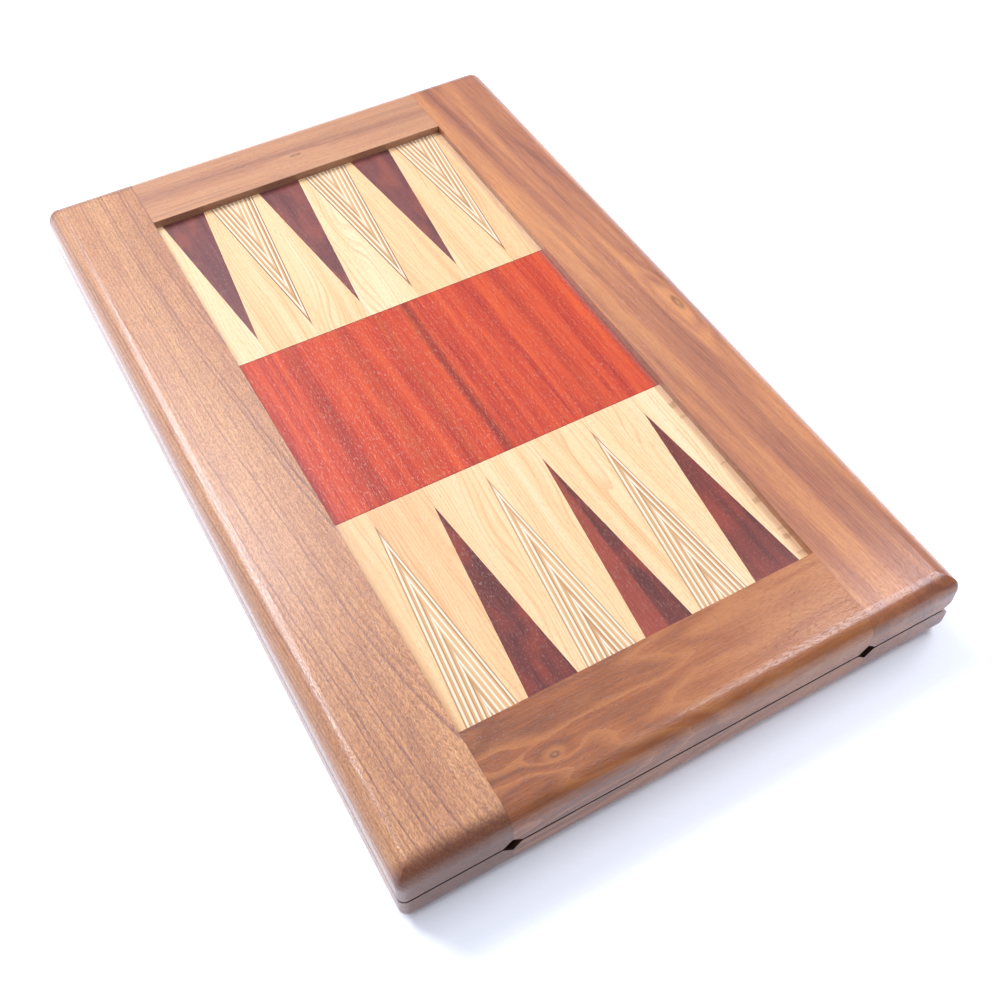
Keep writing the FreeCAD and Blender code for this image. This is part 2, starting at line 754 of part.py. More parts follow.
for thing in doc.Objects:
    if "Invalid" in thing.State or "Error" in thing.State:
        raise RuntimeError(f"{thing.Label} failed: {thing.State}")
os.makedirs("parts", exist_ok=True)
for node in nodes:
    shape = node.Shape
    if shape.isNull() or not shape.isValid() or not shape.Solids:
        raise RuntimeError(f"{node.Label} has no sound shape")
    shape.exportStep(f"parts/{node.Label}.step")
print(len(nodes), "nodes written")
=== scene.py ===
"""Looks of the folding backgammon case: woods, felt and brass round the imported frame, in metres.

The textures are drawn in millimetres on each board where it lies in the closed case, so that the grain
stays on its board when the case opens.
"""
import json
import math

import bmesh
import bpy
from mathutils import Euler, Matrix, Vector, noise

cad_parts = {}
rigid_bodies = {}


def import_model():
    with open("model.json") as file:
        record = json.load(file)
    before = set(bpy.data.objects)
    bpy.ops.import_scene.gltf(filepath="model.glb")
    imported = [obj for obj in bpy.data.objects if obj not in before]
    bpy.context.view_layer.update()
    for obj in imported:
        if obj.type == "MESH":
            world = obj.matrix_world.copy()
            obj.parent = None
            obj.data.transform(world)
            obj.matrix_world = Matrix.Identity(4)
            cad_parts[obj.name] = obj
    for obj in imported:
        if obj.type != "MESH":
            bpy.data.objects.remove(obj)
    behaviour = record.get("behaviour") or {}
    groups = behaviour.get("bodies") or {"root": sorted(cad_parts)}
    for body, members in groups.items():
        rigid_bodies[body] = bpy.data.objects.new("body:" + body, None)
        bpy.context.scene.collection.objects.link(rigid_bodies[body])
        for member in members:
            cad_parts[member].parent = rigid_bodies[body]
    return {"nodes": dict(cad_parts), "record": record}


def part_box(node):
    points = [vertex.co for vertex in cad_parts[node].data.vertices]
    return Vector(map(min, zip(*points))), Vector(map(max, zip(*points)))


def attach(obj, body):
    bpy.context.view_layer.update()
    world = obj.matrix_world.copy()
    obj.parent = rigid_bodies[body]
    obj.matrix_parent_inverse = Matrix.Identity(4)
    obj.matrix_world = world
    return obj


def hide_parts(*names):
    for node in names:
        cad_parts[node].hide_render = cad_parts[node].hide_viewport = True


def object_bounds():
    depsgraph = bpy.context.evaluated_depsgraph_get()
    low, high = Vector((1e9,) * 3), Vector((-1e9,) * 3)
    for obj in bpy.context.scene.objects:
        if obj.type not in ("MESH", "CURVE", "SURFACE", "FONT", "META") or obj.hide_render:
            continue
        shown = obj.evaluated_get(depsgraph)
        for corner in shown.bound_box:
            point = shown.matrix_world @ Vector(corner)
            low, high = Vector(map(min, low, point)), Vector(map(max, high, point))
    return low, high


for leftover in list(bpy.data.objects):
    bpy.data.objects.remove(leftover)
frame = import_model()
nodes = frame["nodes"]
cad_low, cad_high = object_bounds()

MM = 0.001
HALVES = ("upper", "lower")
case_height = cad_high.z - cad_low.z

# Where the frame's inner walls and its outside stand, in millimetres from the middle of the case.
inner_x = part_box("upper_divider_bars")[1].x / MM
outer_x = -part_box("upper_left_rail")[0].x / MM
outer_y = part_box("upper_left_rail")[1].y / MM
GAP = 1.0  # between the halves, in millimetres
NOTCH = 7.0  # from the middle of the diamond at a joint to its points, in millimetres


def srgb(red, green, blue):
    """A display colour, 0 to 255, as the linear colour that a shader takes."""
    def linear(level):
        level /= 255
        return level / 12.92 if level <= 0.04045 else ((level + 0.055) / 1.055) ** 2.4
    return (linear(red), linear(green), linear(blue), 1.0)


# ---- A small language for textures -------------------------------------------------------------------


class Field:
    """One number that varies over a surface: a node's output, with arithmetic."""

    def __init__(self, surface, socket):
        self.surface = surface
        self.socket = socket

    def math(self, operation, *others):
        node = self.surface.add("ShaderNodeMath")
        node.operation = operation
        for slot, value in zip(node.inputs, (self, *others)):
            self.surface.feed(slot, value)
        return Field(self.surface, node.outputs[0])

    def __add__(self, other):
        return self.math("ADD", other)

    def __sub__(self, other):
        return self.math("SUBTRACT", other)

    def __mul__(self, other):
        return self.math("MULTIPLY", other)

    def __truediv__(self, other):
        return self.math("DIVIDE", other)

    def __rsub__(self, other):
        return (self * -1) + other

    __radd__ = __add__
    __rmul__ = __mul__

    def fraction(self):
        return self.math("FRACT")

    def floor(self):
        return self.math("FLOOR")

    def size(self):
        return self.math("ABSOLUTE")

    def power(self, exponent):
        return self.math("POWER", exponent)

    def rise(self, start, end, low=0.0, high=1.0):
        """Goes smoothly from low to high while the number goes from start to end."""
        node = self.surface.add("ShaderNodeMapRange")
        node.interpolation_type = "SMOOTHSTEP"
        for slot, value in zip(node.inputs, (self, start, end, low, high)):
            self.surface.feed(slot, value)
        return Field(self.surface, node.outputs[0])

    def hump(self, centre, reach):
        """1 at the centre, falling smoothly to 0 at a distance of reach."""
        return (self - centre).size().rise(0.0, reach, 1.0, 0.0)


class Surface:
    """A material under construction, with its own coordinates in millimetres."""

    def __init__(self, name):
        self.material = bpy.data.materials.new(name)
        self.material.use_nodes = True
        self.tree = self.material.node_tree
        self.tree.nodes.clear()
        self.shader = self.add("ShaderNodeBsdfPrincipled")
        output = self.add("ShaderNodeOutputMaterial")
        self.tree.links.new(self.shader.outputs["BSDF"], output.inputs["Surface"])
        spot = self.add("ShaderNodeTexCoord").outputs["Object"]
        split = self.add("ShaderNodeSeparateXYZ")
        self.tree.links.new(spot, split.inputs[0])
        self.x, self.y, self.z = (Field(self, axis) * (1 / MM) for axis in split.outputs)

    def add(self, kind):
        return self.tree.nodes.new(kind)

    def feed(self, slot, value):
        if isinstance(value, Field):
            self.tree.links.new(value.socket, slot)
        else:
            slot.default_value = value

    def spot(self, u, v, w):
        node = self.add("ShaderNodeCombineXYZ")
        for slot, value in zip(node.inputs, (u, v, w)):
            self.feed(slot, value)
        return node.outputs[0]

    def noise(self, u, v, w, detail=2.0, roughness=0.5):
        """Smooth noise, mostly between 0.25 and 0.75, with features one unit long."""
        node = self.add("ShaderNodeTexNoise")
        self.tree.links.new(self.spot(u, v, w), node.inputs["Vector"])
        node.inputs["Scale"].default_value = 1.0
        node.inputs["Detail"].default_value = detail
        node.inputs["Roughness"].default_value = roughness
        return Field(self, node.outputs[0])

    def chance(self, number, seed=0.0):
        """A random number between 0 and 1 for each whole number."""
        node = self.add("ShaderNodeTexWhiteNoise")
        node.noise_dimensions = "2D"
        self.tree.links.new(self.spot(number, seed + 0.5, 0.0), node.inputs["Vector"])
        return Field(self, node.outputs["Value"])

    def ramp(self, number, *stops, steps=False):
        """A colour for each value of a number: stops are (value, colour)."""
        node = self.add("ShaderNodeValToRGB")
        scale = node.color_ramp
        scale.interpolation = "CONSTANT" if steps else "LINEAR"
        while len(scale.elements) < len(stops):
            scale.elements.new(0.5)
        for element, (position, colour) in zip(scale.elements, stops):
            element.position = position
            element.color = colour
        self.feed(node.inputs["Fac"], number)
        return node.outputs["Color"]

    def blend(self, amount, base, over, mode="MIX"):
        """base with over laid on it; either may be a constant colour."""
        node = self.add("ShaderNodeMix")
        node.data_type = "RGBA"
        node.blend_type = mode
        node.clamp_factor = True
        self.feed(node.inputs[0], amount)
        for slot, colour in ((node.inputs[6], base), (node.inputs[7], over)):
            if isinstance(colour, bpy.types.NodeSocket):
                self.tree.links.new(colour, slot)
            else:
                slot.default_value = colour
        return node.outputs[2]

    def colour(self, socket):
        self.tree.links.new(socket, self.shader.inputs["Base Color"])

    def constants(self, **values):
        """Settings that are the same all over the surface, on the shader's own sockets."""
        for name, value in values.items():
            self.shader.inputs[name.replace("_", " ")].default_value = value

    def relief(self, height, depth_mm, coat=True):
        """Bumps of a given depth, under the lacquer and on it."""
        node = self.add("ShaderNodeBump")
        node.inputs["Strength"].default_value = 1.0
        node.inputs["Distance"].default_value = depth_mm * MM
        self.feed(node.inputs["Height"], height)
        self.tree.links.new(node.outputs[0], self.shader.inputs["Normal"])
        if coat:
            self.tree.links.new(node.outputs[0], self.shader.inputs["Coat Normal"])


def lacquer(surface, gloss=0.20):
    """A clear semi-gloss finish over open-pored wood; gloss is its roughness."""
    surface.constants(Roughness=0.5, Specular_IOR_Level=0.15)
    surface.constants(Coat_Weight=1.0, Coat_Roughness=gloss, Coat_IOR=1.5)


# ---- Woods -------------------------------------------------------------------------------------------

BROWN_PORE = srgb(84, 46, 36)
KNOT = srgb(66, 34, 24)
# The colour of the painted shade in the gap between the halves and in the notch ends.
GAP_SHADE = srgb(34, 20, 18)


class Board:
    """Grain coordinates of one board, in mm: u along the grain, v across it, w up through it."""

    def __init__(self, surface, grain, low_side, seed, centre=0.0, slant=0.0):
        along, across = (surface.y, surface.x) if grain == "y" else (surface.x, surface.y)
        self.surface = surface
        self.u = along
        self.v = across - centre + along * slant
        self.w = (case_height / MM - surface.z) if low_side else surface.z
        self.seed = seed

    def noise(self, length, width, detail=2.0, roughness=0.5, shift=0.0):
        """Noise drawn out along the grain: its features are length by width mm."""
        drift = self.seed * 17.3 + shift
        return self.surface.noise(self.u / length + drift, self.v / width + drift * 0.7,
                                  self.w / width + drift * 1.3, detail, roughness)

    def away(self, u, v, reach_u, reach_v):
        """Distance from a place on the board, 1 at an oval of the given reach."""
        along = (self.u - u) / reach_u
        across = (self.v - v) / reach_v
        return (along * along + across * across).power(0.5)


def arches(board, pith, depth, lean, ring, wobble):
    """Growth rings cut flat: the pith stands at v = pith under the face and sinks along the grain."""
    aside = board.v - pith + (board.noise(190, 60, 1.0, shift=3.1) - 0.5) * wobble
    aside = aside + (board.noise(16, 7, 1.0, shift=7.7) - 0.5) * (wobble * 0.25)
    below = board.u * lean + depth + (case_height / MM - board.w)
    return (aside * aside + below * below).power(0.5) / ring


def flames(board, length, width, count, drift=0.0):
    """Rings cut nearly level, which show as a few large wandering bands."""
    sweep = board.noise(length, width, 2.0, 0.35, shift=4.6)
    ripple = board.noise(length * 0.12, width * 0.16, 2.0, 0.5, shift=8.8)
    return sweep * count + ripple * 0.35 + board.u * drift


def pores(board, amount, length=3.2, width=0.42):
    """Short dark vessels along the grain; amount is roughly how much of the face they cover."""
    grain = board.noise(length, width, 1.0, 0.5, shift=21.0)
    return grain.rise(0.64 - 0.16 * amount, 0.74 - 0.12 * amount)


def walnut(name, grain, centre, low_side, seed, figure, tones, profile, streaks, lines, open_pores,
           slope=0.0, slant=0.0, knots=(), joint=None, tongue=None, ends=None, swirl=0.2, crisp=False):
    """A walnut rail under lacquer.

    figure gives the number of each growth band and profile how much a band darkens across it; crisp bands
    end abruptly, and swirl is how much paler the others turn towards one side. tones are the light, middle
    and dark wood and the stain of the long streaks; slope makes the board darker along u. A knot is its
    place (u, v), its reach along and across the grain and the number of bands it adds. joint is where the
    rail meets its neighbours, tongue is the colour of the tongue that shows in the joint at the low end, and
    ends how much the end grain at both ends darkens the wood.
    """
    s = Surface(name)
    board = Board(s, grain, low_side, seed, centre, slant)
    light, middle, dark, stain = tones
    number = figure(board)
    end_grain = board.u.size().rise(outer_y - 15.0, outer_y - 5.0) if ends else None
    for u, v, reach_u, reach_v, turns in knots:
        number = number + board.away(u, v, reach_u, reach_v).rise(0.0, 1.0, turns, 0.0)
    phase = number.fraction()
    luck = s.chance(number.floor(), seed)
    line = phase.rise(0.45, 0.84) * phase.rise(0.88, 1.0, 1.0, 0.0) * (luck * luck * 0.85 + 0.15)
    if crisp:
        band = phase - 0.5 + (luck - 0.5) * 0.4
    else:
        band = phase.hump(0.5, 0.5) - 0.5
        paler = phase.rise(0.45, 0.96) * phase.rise(0.96, 1.0, 1.0, 0.0) * swirl

    broad = board.noise(430, 24, 2.0, 0.5, shift=1.7)
    fibre = board.noise(34, 1.3, 3.0, 0.6, shift=5.2)
    silk = board.noise(9, 0.6, 2.0, 0.6, shift=9.4)
    shade = (broad - 0.5) * (1.7 * streaks) + (fibre - 0.5) * 0.7 + (silk - 0.5) * 0.35
    shade = shade + band * profile + board.u * slope + 0.5
    colour = s.ramp(shade, (0.15, light), (0.5, middle), (0.88, dark))
    long_stain = board.noise(300, 5.5, 2.0, 0.5, shift=12.9).rise(0.55, 0.72) * (0.5 * streaks)
    colour = s.blend(long_stain, colour, stain)
    if end_grain is not None:
        line = line * (end_grain * -0.7 + 1.0)
    colour = s.blend(line * lines, colour, stain)
    if not crisp:
        colour = s.blend(paler, colour, light)
    dash = pores(board, open_pores, 1.9 if crisp else 3.2)
    colour = s.blend(dash * (0.22 + 0.20 * open_pores), colour, BROWN_PORE)
    for u, v, reach_u, reach_v, _ in knots:
        halo = board.away(u, v, reach_u * 0.45, reach_v * 0.45).rise(0.35, 1.0, 0.55, 0.0)
        heart = board.away(u, v, reach_u * 0.13, reach_v * 0.17)
        heart = (heart + (silk - 0.5) * 0.8).hump(0.7, 0.7) * 0.55
        colour = s.blend(halo, colour, light)
        colour = s.blend(heart, colour, KNOT)
    if joint is not None:
        colour = s.blend(board.u.size().rise(joint - 0.5, joint, 0.0, 0.45), colour, KNOT)
    if tongue is not None:
        colour = s.blend((board.u * -1.0).rise(joint + 0.6, joint + 0.9), colour, tongue)
    if end_grain is not None:
        colour = s.blend(end_grain, colour, ends, "MULTIPLY")
    # Painted shade: a dark colour is laid on the outer edge of the gap between the halves and on the ends of
    # the notches, where shade falls, and the coat is taken off there.
    from_middle = (s.z - case_height / MM / 2).size()
    at_edge = s.x.size().rise(outer_x - 4.5, outer_x - 1.5)
    at_edge = at_edge.math("MAXIMUM", s.y.size().rise(outer_y - 4.5, outer_y - 1.5))
    gap_shade = from_middle.rise(GAP / 2 + 0.25, GAP / 2 + 0.75, 0.95, 0.0) * at_edge
    diamond = (from_middle + (s.x.size() - inner_x).size()).rise(NOTCH + 0.02, NOTCH + 0.12, 0.9, 0.0)
    gap_shade = gap_shade.math("MAXIMUM", diamond * s.y.size().rise(outer_y - 34.0, outer_y - 14.0))
    s.colour(s.blend(gap_shade, colour, GAP_SHADE))
    s.relief(dash * -1.0 + (silk - 0.5) * 0.3, 0.08)
    lacquer(s)
    s.feed(s.shader.inputs["Coat Weight"], gap_shade * -1.0 + 1.0)
    return s.material


def pale_wood(name, low_side, seed, tints):
    """Light strips side by side, each between the centre lines of neighbouring points."""
    s = Surface(name)
    first, pitch = point_grid(low_side)
    strip = ((s.x - first) / pitch).floor() + 1.0
    greys = [(index / len(tints), (tint, tint, tint, 1)) for index, tint in enumerate(tints)]
    tone = s.ramp((strip + 0.5) / len(tints), *greys, steps=True)
    board = Board(s, "y", low_side, seed)
    lean = (s.chance(strip, seed + 1.0) - 0.5) * 0.14
    board.v = board.v + board.u * lean + strip * 63.0
    broad = board.noise(260, 9, 2.0, 0.5, shift=0.4)
    number = (board.v + (board.noise(140, 26, 1.0, shift=2.2) - 0.5) * 30.0) / 2.6
    phase = number.fraction()
    luck = s.chance(number.floor(), seed)
    line = phase.rise(0.45, 0.92) * phase.rise(0.94, 1.0, 1.0, 0.0) * (luck * 0.9 + 0.1)
    fibre = board.noise(26, 0.8, 3.0, 0.6, shift=6.1)
    shade = Field(s, tone) + (broad - 0.5) * 1.1 + (fibre - 0.5) * 0.5
    colour = s.ramp(shade, (0.0, srgb(216, 188, 148)), (0.42, srgb(213, 175, 128)),
                    (0.75, srgb(203, 157, 110)), (1.0, srgb(188, 134, 89)))
    colour = s.blend(line * 0.50, colour, srgb(177, 117, 71))
    dash = pores(board, 0.35)
    colour = s.blend(dash * 0.35, colour, srgb(159, 98, 60))
    seam = (((s.x - first) / pitch).fraction() - 0.5).size().rise(0.491, 0.498)
    colour = s.blend(seam * 0.35, colour, srgb(149, 91, 55))
    s.colour(colour)
    s.relief(dash * -1.0 + (fibre - 0.5) * 0.2, 0.03)
    lacquer(s)
    return s.material


def point_grid(low_side):
    """Where the first point's centre line stands along X, and the step to the next one."""
    half = "lower" if low_side else "upper"
    points = [name for name in nodes if name.startswith(half + "_far_") and "point" in name]
    spots = sorted(centre_x(name) for name in points)
    return spots[0], (spots[-1] - spots[0]) / (len(spots) - 1)


def centre_x(name):
    low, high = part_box(name)
    return (low.x + high.x) / 2 / MM


def striped_wood(name, node, far_end, low_side, seed, outline):
    """Thin strips glued up and mitred on the point's centre line, so that they nest as Vs.

    outline is how strongly the thin brown edge shows.
    """
    s = Surface(name)
    low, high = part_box(node)
    slope = (high.x - low.x) / 2 / (high.y - low.y)
    from_tip = (s.y - low.y / MM) if far_end else (high.y / MM - s.y)
    aside = s.x - centre_x(node)
    depth = (from_tip * slope - aside.size()) * math.cos(math.atan(slope))
    side = aside.rise(-0.01, 0.01, 0.0, 40.0)
    board = Board(s, "y", low_side, seed)
    wave = (board.noise(60, 30, 1.0, shift=4.0) - 0.5) * 0.5
    layer = (depth + wave + aside.rise(-0.01, 0.01, 0.0, 0.5)) / 3.45
    phase = layer.fraction()
    luck = s.chance(layer.floor() + side, seed)
    fibre = board.noise(18, 0.5, 2.0, 0.6, shift=8.0)
    tan = s.ramp(luck * 0.6 + (fibre - 0.5) * 1.0 + 0.2, (0.1, srgb(197, 159, 114)),
                 (0.5, srgb(184, 144, 99)), (0.9, srgb(169, 124, 80)))
    thread = phase.hump(0.88, 0.11) * luck.rise(0.1, 0.6)
    tan = s.blend(thread * 0.85, tan, srgb(128, 80, 50))
    white = phase.hump(0.50, 0.30).rise(0.10, 0.60)
    colour = s.blend(white, tan, srgb(215, 194, 168))
    edge = depth.rise(0.6, 1.0, 1.0, 0.0)
    colour = s.blend(edge * outline, colour, srgb(95, 55, 32))
    heart = aside.size().rise(0.05, 0.35, 1.0, 0.0)
    colour = s.blend(heart * 0.35, colour, srgb(129, 80, 50))
    s.colour(colour)
    s.relief(fibre - 0.5, 0.02)
    lacquer(s)
    return s.material


def dark_wood(name, node, low_side, seed, tones, flecks, red_side=0.0):
    """A dark point: purple-brown wood with fine pores. red_side reddens it to the left of the middle."""
    s = Surface(name)
    board = Board(s, "y", low_side, seed, centre_x(node))
    dark, middle, reddish = tones
    broad = board.noise(120, 9, 2.0, 0.5, shift=2.0)
    cloud = board.noise(45, 16, 2.0, 0.5, shift=14.0)
    fibre = board.noise(24, 0.8, 3.0, 0.6, shift=5.0)
    colour = s.ramp(broad + (fibre - 0.5) * 0.6, (0.30, dark), (0.64, middle))
    colour = s.blend(cloud.rise(0.48, 0.68) * 0.7, colour, reddish)
    if red_side:
        redness = board.v.rise(-1.0, 1.5, red_side, 0.0) * (fibre * 1.4 + 0.25)
        colour = s.blend(redness, colour, srgb(142, 58, 38))
    dash = board.noise(2.8, 0.42, 1.0, 0.5, shift=23.0).rise(0.60, 0.72)
    colour = s.blend(dash * flecks, colour, srgb(186, 146, 130))
    s.colour(colour)
    s.relief(dash * -1.0 + (fibre - 0.5) * 0.25, 0.03)
    lacquer(s)
    return s.material


def padauk(name, half, seed, bands):
    """The red centre board. bands are (place across, width, strength) of its darker streaks, in mm."""
    s = Surface(name)
    board = Board(s, "y", half == "lower", seed)
    wander = (board.noise(240, 60, 2.0, shift=3.3) - 0.5) * 10.0
    across = board.v + wander
    broad = board.noise(300, 7.5, 3.0, 0.6, shift=1.1)
    fibre = board.noise(34, 1.0, 3.0, 0.62, shift=6.6)
    shade = broad + (fibre - 0.5) * 0.8
    colour = s.ramp(shade, (0.28, srgb(190, 72, 25)), (0.50, srgb(174, 53, 21)),
                    (0.74, srgb(142, 32, 16)))
    for place, width, strength in bands:
        streak = across.hump(place, width) * (fibre * 0.8 + 0.6) * strength
        colour = s.blend(streak, colour, srgb(92, 19, 13))
    dash = board.noise(3.6, 0.55, 1.0, 0.5, shift=27.0).rise(0.62, 0.72)
    colour = s.blend(dash * 0.38, colour, srgb(201, 128, 76))
    far_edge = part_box(half + "_centre_board")[1].y / MM
    rim = (s.y.size() - far_edge).rise(-0.9, -0.2)
    rim = rim + (s.x.size() - inner_x).rise(-1.6, -0.4)
    colour = s.blend(rim * 0.75, colour, srgb(78, 17, 15))
    s.colour(colour)
    s.relief(dash * -1.0 + (fibre - 0.5) * 0.25, 0.035)
    lacquer(s)
    return s.material


# Brown marks across the filler strip: (place along it, half its length), in mm.
FILLER_MARKS = ((-99.0, 3.5), (-111.0, 1.6), (-157.0, 1.4), (-192.0, 3.0), (-217.0, 1.5), (-224.0, 2.4),
                (-238.0, 1.6))


def filler_wood(name, low_side, seed):
    """The narrow strip along the wall, pinkish, with short brown flecks across it."""
    s = Surface(name)
    board = Board(s, "y", low_side, seed)
    fibre = board.noise(24, 0.8, 3.0, 0.6, shift=2.0)
    colour = s.ramp(fibre, (0.3, srgb(209, 174, 132)), (0.7, srgb(192, 142, 104)))
    ragged = (board.noise(3.0, 3.0, 2.0, shift=11.0) - 0.5) * 5.0
    for place, reach in FILLER_MARKS:
        mark = (s.y + ragged - place).size().rise(reach - 1.4, reach, 1.0, 0.0)
        colour = s.blend(mark * (fibre * 0.7 + 0.1), colour, srgb(145, 97, 60))
    s.colour(colour)
    s.relief(fibre, 0.02)
    lacquer(s)
    return s.material


def plain_wood(name, grain, low_side, seed, light, dark):
    """Inside woods: fine straight grain under a thin finish."""
    s = Surface(name)
    board = Board(s, grain, low_side, seed)
    broad = board.noise(200, 10, 2.0, 0.5, shift=1.0)
    fibre = board.noise(24, 0.9, 3.0, 0.6, shift=2.0)
    dash = pores(board, 0.4)
    colour = s.ramp(broad + (fibre - 0.5) * 0.6, (0.3, light), (0.7, dark))
    s.colour(s.blend(dash * 0.3, colour, BROWN_PORE))
    s.relief(fibre - dash, 0.04)
    lacquer(s, gloss=0.35)
    return s.material


def plywood(name, seed):
    """Edges of the panel core, with its veneers crossing."""
    s = Surface(name)
    layer = (s.z / 0.85).floor()
    tone = s.chance(layer, seed) * 0.35
    fibre = s.noise(s.x / 9, s.y / 9, s.z * 2, 3.0, 0.6)
    s.colour(s.ramp(tone + fibre * 0.7, (0.3, srgb(226, 196, 152)), (0.8, srgb(184, 146, 104))))
    s.relief(fibre, 0.05, coat=False)
    s.constants(Roughness=0.7)
    return s.material


# ---- Metals and felt ---------------------------------------------------------------------------------


def brass(name, brushed=True):
    s = Surface(name)
    if brushed:
        scratch = s.noise(s.y / 14, s.x * 6, s.z * 6, 2.0, 0.7)
    else:
        scratch = s.noise(s.x * 3, s.y * 3, s.z * 3)
    tarnish = s.noise(s.x / 12, s.y / 12, s.z / 12, 3.0)
    s.colour(s.ramp(tarnish, (0.2, srgb(222, 180, 102)), (0.8, srgb(204, 160, 86))))
    s.relief(scratch, 0.006, coat=False)
    s.constants(Metallic=1.0, Roughness=0.28)
    return s.material


def bright_metal(name, light, dark, roughness):
    s = Surface(name)
    blot = s.noise(s.x / 5, s.y / 5, s.z / 5, 3.0)
    fine = s.noise(s.x * 4, s.y * 4, s.z * 4, 2.0)
    s.colour(s.ramp(blot, (0.3, light), (0.7, dark)))
    s.relief(fine, 0.004, coat=False)
    s.constants(Metallic=1.0, Roughness=roughness)
    return s.material


def felt(name):
    """Short dense felt: matted fibres over a slightly cloudy green."""
    s = Surface(name)
    cloud = s.noise(s.x / 22, s.y / 22, s.z / 22, 3.0)
    mat = s.noise(s.x / 1.1, s.y / 0.5, s.z, 3.0, 0.7)
    hair = s.noise(s.x / 0.45, s.y / 1.6, s.z, 2.0, 0.7)
    tone = cloud * 0.2 + mat * 0.5 + hair * 0.5
    s.colour(s.ramp(tone, (0.42, srgb(14, 58, 40)), (0.60, srgb(24, 82, 56)), (0.78, srgb(44, 110, 80))))
    s.relief(mat * 0.6 + hair * 0.4, 0.35, coat=False)
    s.constants(Roughness=0.95, Sheen_Weight=0.6, Sheen_Roughness=0.5, Specular_IOR_Level=0.2)
    return s.material


# ---- Dressing the CAD nodes --------------------------------------------------------------------------

LEFT_WALNUT = (srgb(208, 155, 104), srgb(183, 126, 85), srgb(141, 88, 64), srgb(116, 74, 66))
RIGHT_WALNUT = (srgb(192, 128, 77), srgb(164, 102, 68), srgb(123, 71, 54), srgb(104, 62, 52))
FAR_WALNUT = (srgb(184, 133, 95), srgb(168, 116, 85), srgb(130, 86, 69), srgb(106, 73, 65))
NEAR_WALNUT = (srgb(167, 102, 53), srgb(144, 79, 37), srgb(114, 60, 30), srgb(82, 42, 26))

# The figure of each rail, from where its growth rings run to how open its pores are.
RAILS = {
    "left": dict(grain="y", centre=-156.0, tones=LEFT_WALNUT, profile=0.10, streaks=0.30, lines=0.70,
                 open_pores=1.15, ends=(0.40, 0.25, 0.17, 1.0), crisp=True,
                 figure=lambda board: arches(board, pith=54.0, depth=34.0, lean=-0.10, ring=2.5,
                                             wobble=7.0)),
    "right": dict(grain="y", centre=156.0, tones=RIGHT_WALNUT, profile=0.18, streaks=0.62, lines=0.30,
                  open_pores=0.40, slant=0.06, ends=(0.74, 0.62, 0.54, 1.0),
                  knots=[(-23.0, 17.0, 60.0, 14.0, 1.6)],
                  figure=lambda board: flames(board, length=420, width=26, count=6.0)),
    "far": dict(grain="x", centre=275.0, tones=FAR_WALNUT, profile=0.12, streaks=0.6, lines=0.18,
                open_pores=0.40, joint=inner_x, knots=[(5.0, -7.0, 36.0, 9.0, 0.8)],
                figure=lambda board: flames(board, length=360, width=20, count=4.0)),
    "near": dict(grain="x", centre=-275.0, tones=NEAR_WALNUT, profile=0.20, streaks=0.26, lines=0.45,
                 swirl=0.75, open_pores=0.60, slope=-0.0020, joint=inner_x, tongue=srgb(112, 66, 42),
                 knots=[(-83.0, -7.0, 24.0, 11.0, 1.3)],
                 figure=lambda board: flames(board, length=130, width=30, count=6.0, drift=0.012)),
}

# How dark each strip of a light field is, from left to right, on the ramp in pale_wood.
FAR_TINTS = (0.15, 0.47, 0.38, 0.18, 0.52, 0.42, 0.55)
NEAR_TINTS = (0.55, 0.66, 0.42, 0.38, 0.38, 0.22, 0.20)

# The dark points' tones: dark, middle and reddish. Two near points also turn red to the left of the middle.
MAROON = (srgb(74, 25, 20), srgb(105, 40, 28), srgb(128, 47, 28))
PURPLE = (srgb(86, 45, 45), srgb(111, 60, 55), srgb(129, 66, 53))
REDDENED = {"near_dark_point_2": 0.75, "near_dark_point_3": 0.25}

RED_BANDS = ((-85.0, 9.0, 0.30), (-47.0, 8.0, 0.22), (-18.0, 7.0, 0.28), (6.0, 7.0, 0.60),
             (78.0, 8.0, 0.20))
BACKING_TONES = (srgb(216, 180, 134), srgb(186, 144, 100))
BAR_TONES = (srgb(150, 98, 68), srgb(104, 64, 44))
NICKEL_TONES = (srgb(196, 196, 200), srgb(170, 170, 176))
STEEL_TONES = (srgb(190, 190, 192), srgb(160, 160, 164))


def wear(node, material):
    """Give a CAD node its material in every slot."""
    for slot in nodes[node].material_slots:
        slot.material = material


